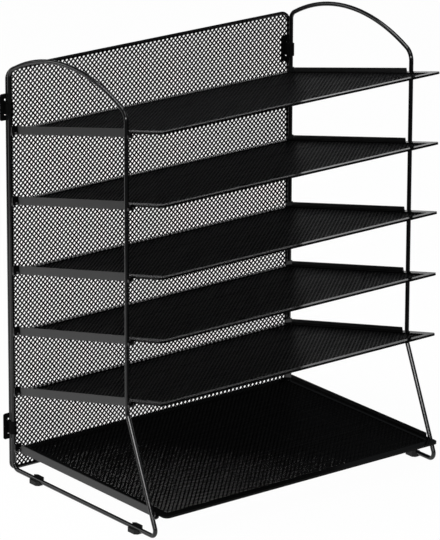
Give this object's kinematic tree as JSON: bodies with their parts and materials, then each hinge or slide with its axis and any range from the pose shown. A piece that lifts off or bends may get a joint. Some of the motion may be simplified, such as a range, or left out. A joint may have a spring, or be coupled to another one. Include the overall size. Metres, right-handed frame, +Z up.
{
  "type": "tiered desk tray rack",
  "caption": "Desk rack of bent wire with a mesh back panel, arched wire sides and stacked mesh trays that slope to the back and lift off; a level tray at the bottom holds a file box.",
  "frame": {"origin": "on the desk, under the middle of the rack's overall box", "axes": "+X to the right, +Y to the back panel, +Z up; the trays open to -Y"},
  "size_m": [0.3434, 0.2398, 0.4207],
  "materials": {
    "coated_wire": "black powder coat, semi-gloss",
    "coated_mesh": "black powder coat over expanded steel mesh",
    "coated_sheet": "black powder coat, satin",
    "foot_plastic": "black moulded plastic, matt"
  },
  "bodies": {
    "rack": {"back_panel_frame": "coated_wire", "back_panel_mesh": "coated_mesh", "left_side_frame": "coated_wire", "left_upper_clip": "coated_sheet", "left_lower_clip": "coated_sheet", "left_rear_foot": "foot_plastic", "left_front_foot": "foot_plastic", "right_side_frame": "coated_wire", "right_upper_clip": "coated_sheet", "right_lower_clip": "coated_sheet", "right_rear_foot": "foot_plastic", "right_front_foot": "foot_plastic", "tray_1_left_support": "coated_wire", "tray_1_right_support": "coated_wire", "tray_2_left_support": "coated_wire", "tray_2_right_support": "coated_wire", "tray_3_left_support": "coated_wire", "tray_3_right_support": "coated_wire", "tray_4_left_support": "coated_wire", "tray_4_right_support": "coated_wire", "tray_5_left_support": "coated_wire", "tray_5_right_support": "coated_wire", "tray_6_left_support": "coated_wire", "tray_6_right_support": "coated_wire"},
    "tray_1": {"tray_1_rim": "coated_sheet", "tray_1_mesh": "coated_mesh", "tray_1_left_band": "coated_sheet", "tray_1_right_band": "coated_sheet"},
    "tray_2": {"tray_2_rim": "coated_sheet", "tray_2_mesh": "coated_mesh", "tray_2_left_band": "coated_sheet", "tray_2_right_band": "coated_sheet"},
    "tray_3": {"tray_3_rim": "coated_sheet", "tray_3_mesh": "coated_mesh", "tray_3_left_band": "coated_sheet", "tray_3_right_band": "coated_sheet"},
    "tray_4": {"tray_4_rim": "coated_sheet", "tray_4_mesh": "coated_mesh", "tray_4_left_band": "coated_sheet", "tray_4_right_band": "coated_sheet"},
    "tray_5": {"tray_5_rim": "coated_sheet", "tray_5_mesh": "coated_mesh", "tray_5_left_band": "coated_sheet", "tray_5_right_band": "coated_sheet"},
    "tray_6": {"tray_6_rim": "coated_sheet", "tray_6_mesh": "coated_mesh", "tray_6_left_band": "coated_sheet", "tray_6_right_band": "coated_sheet"}
  },
  "joints": [
    {"name": "tray_1_lift", "type": "slide", "parent": "rack", "child": "tray_1", "axis": [0, 0, 1], "range_m": [0, 0.09]},
    {"name": "tray_2_lift", "type": "slide", "parent": "rack", "child": "tray_2", "axis": [0, 0, 1], "range_m": [0, 0.04]},
    {"name": "tray_3_lift", "type": "slide", "parent": "rack", "child": "tray_3", "axis": [0, 0, 1], "range_m": [0, 0.04]},
    {"name": "tray_4_lift", "type": "slide", "parent": "rack", "child": "tray_4", "axis": [0, 0, 1], "range_m": [0, 0.04]},
    {"name": "tray_5_lift", "type": "slide", "parent": "rack", "child": "tray_5", "axis": [0, 0, 1], "range_m": [0, 0.04]},
    {"name": "tray_6_lift", "type": "slide", "parent": "rack", "child": "tray_6", "axis": [0, 0, 1], "range_m": [0, 0.04]}
  ]
}
